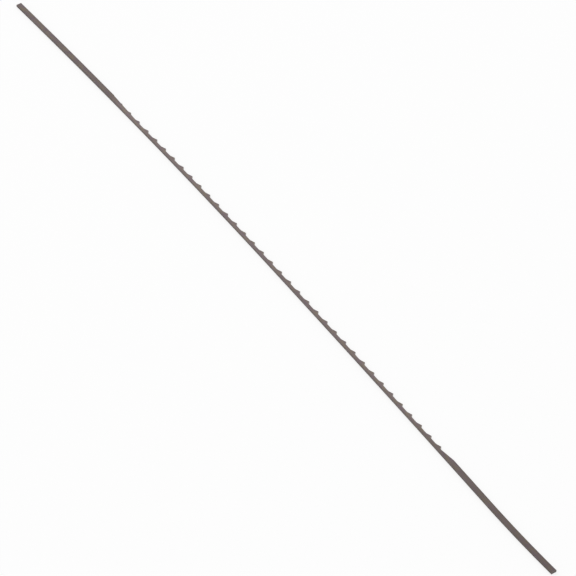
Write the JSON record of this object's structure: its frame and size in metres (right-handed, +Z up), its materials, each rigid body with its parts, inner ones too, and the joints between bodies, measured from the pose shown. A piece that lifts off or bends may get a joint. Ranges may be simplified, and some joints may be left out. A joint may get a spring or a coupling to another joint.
{
  "type": "scroll saw blade",
  "caption": "Slim plain-end scroll saw blade: a flat hardened steel strip with a long row of skip teeth between two toothless clamping ends.",
  "frame": {"origin": "middle of the blade's box, on the broad underside that it lies on", "axes": "+X along the blade the way its teeth point, +Y across it to the toothed edge, +Z up through its thickness"},
  "size_m": [0.127, 0.0018, 0.0004],
  "materials": {
    "blade_steel": "rolled, hardened and tempered strip, dull grey-brown, with brighter cut gullets"
  },
  "bodies": {
    "root": {"blade": "blade_steel"}
  },
  "joints": []
}
